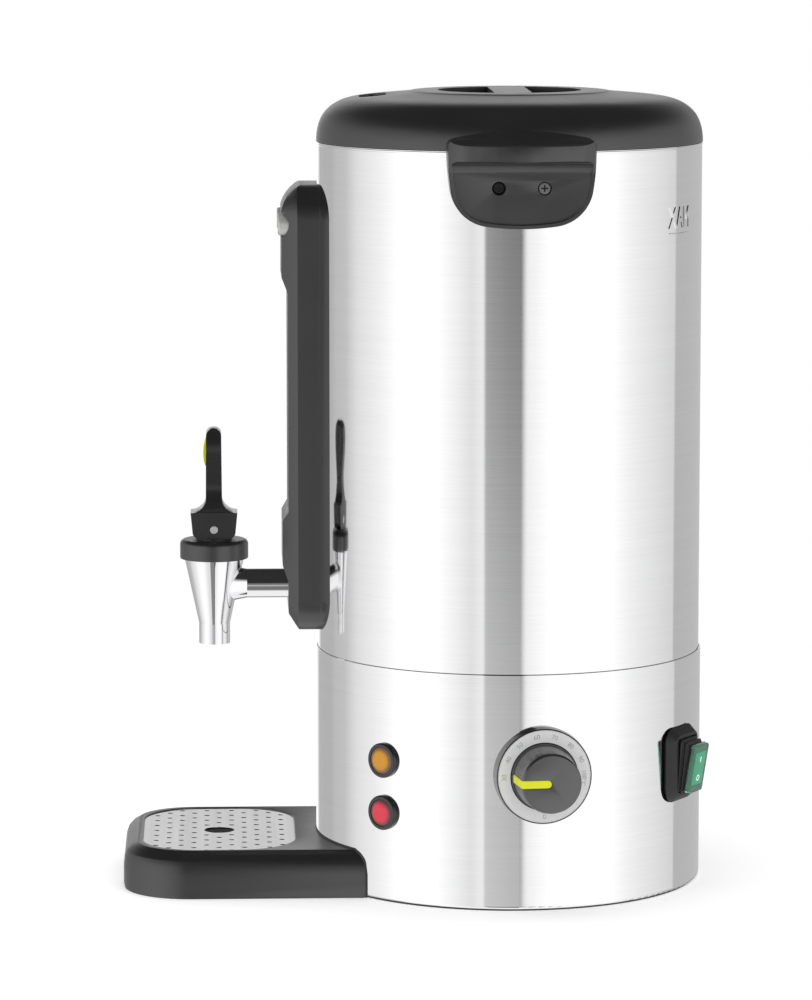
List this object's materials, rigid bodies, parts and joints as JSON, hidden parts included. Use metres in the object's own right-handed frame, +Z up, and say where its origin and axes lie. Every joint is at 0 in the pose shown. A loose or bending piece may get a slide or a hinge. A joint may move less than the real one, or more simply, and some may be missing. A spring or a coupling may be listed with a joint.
{
  "type": "hot water urn",
  "caption": "Upright electric hot water urn: steel tank on a steel base with controls, lift-off lid, two handles, sight gauge rail, lever tap and a slide-in drip tray.",
  "frame": {"origin": "on the body's vertical axis, at the surface that the urn stands on", "axes": "+Z up; -Y towards the tap and the drip tray; +X towards the side with the dial and the lamps"},
  "size_m": [0.2863, 0.345, 0.4695],
  "materials": {
    "black_plastic": "satin moulded, very fine grain",
    "black_gloss": "smooth moulded",
    "stainless": "circumferential fine brush",
    "plain_steel": "mill finish sheet",
    "bright_screw": "zinc bright",
    "chrome": "polished chrome plate",
    "aluminium": "machined",
    "silver_ring": "satin anodised with printed numbers",
    "brass": "plain",
    "rubber": "matt",
    "silicone": "translucent milk white",
    "clear_glass": "clear tube",
    "white_strip": "plain white",
    "yellow": "bright yellow green",
    "amber": "translucent amber with fine diamonds",
    "red": "translucent red",
    "green": "translucent green",
    "white_plastic": "plain moulded"
  },
  "bodies": {
    "root": {"base_shell": "stainless", "foot_ring": "rubber", "base_plate": "plain_steel", "tie_rods": "bright_screw", "support_ring": "plain_steel", "heat_shield": "plain_steel", "tank": "stainless", "heater_plate": "aluminium", "heating_element": "plain_steel", "boil_dry_cutout": "white_plastic", "tank_floor": "stainless", "handle_right": "black_plastic", "handle_left": "black_plastic", "handle_screws": "bright_screw", "backing_plates": "plain_steel", "handle_nuts": "bright_screw", "gauge_cover": "black_plastic", "gauge_housing": "black_plastic", "gauge_glass": "clear_glass", "gauge_manifold": "brass", "gauge_top_fitting": "brass", "gauge_seals": "silicone", "rail_screws": "chrome", "level_strip": "white_strip", "tap_body": "chrome", "shank_nut": "chrome", "tap_bonnet": "black_plastic", "tap_spring": "bright_screw", "dial_bezel": "black_gloss", "dial_scale_ring": "silver_ring", "thermostat_body": "white_plastic", "bush_nut": "bright_screw", "sensing_bulb": "brass", "lamp_bezels": "black_gloss", "amber_lens": "amber", "red_lens": "red", "lamp_bodies": "white_plastic", "switch_frame": "rubber", "switch_body": "black_gloss", "cable_gland": "black_gloss", "gland_nut": "black_gloss", "terminal_block": "white_plastic"},
    "lid": {"lid_shell": "black_plastic", "grip_cup": "black_plastic", "lid_liner": "stainless", "lid_seal": "silicone", "vent_sleeve": "black_plastic", "lid_screws": "bright_screw"},
    "dial": {"dial_knob": "black_plastic", "knob_pointer": "yellow", "dial_shaft": "plain_steel"},
    "rocker": {"switch_boot": "rubber", "switch_rocker": "green"},
    "stem": {"tap_stem": "plain_steel", "seat_cup": "silicone"},
    "lever": {"tap_lever": "black_gloss", "lever_accent": "yellow", "tap_pin": "bright_screw"},
    "tray": {"tray_base": "black_plastic"},
    "grid": {"drip_grid": "stainless"}
  },
  "joints": [
    {"name": "lid_lift", "type": "slide", "parent": "root", "child": "lid", "axis": [0, 0, 1], "range_m": [0, 0.15]},
    {"name": "dial_turn", "type": "hinge", "parent": "root", "child": "dial", "pos_m": [0.11421, 0.01342, 0.0803], "axis": [0.9932, 0.1167, 0], "range_deg": [-182, 90]},
    {"name": "switch_rock", "type": "hinge", "parent": "root", "child": "rocker", "pos_m": [0.06196, 0.09877, 0.0769], "axis": [0.8471, -0.5314, 0], "range_deg": [0, 19]},
    {"name": "stem_lift", "type": "slide", "parent": "root", "child": "stem", "axis": [0, 0, 1], "range_m": [0, 0.00541], "stiffness_N_per_m": 100, "springref_m": -0.002, "deforming": ["tap_spring"]},
    {"name": "lever_tilt", "type": "hinge", "parent": "stem", "child": "lever", "pos_m": [0, -0.1755, 0.2094], "axis": [1, 0, 0], "range_deg": [0, 32]},
    {"name": "tray_slide", "type": "slide", "parent": "root", "child": "tray", "axis": [0, -1, 0], "range_m": [0, 0.12]},
    {"name": "grid_lift", "type": "slide", "parent": "tray", "child": "grid", "axis": [0, 0, 1], "range_m": [0, 0.06]}
  ],
  "couplings": [
    {"joint": "lever_tilt", "follows": "stem_lift", "rad_per_m": 103.09}
  ]
}
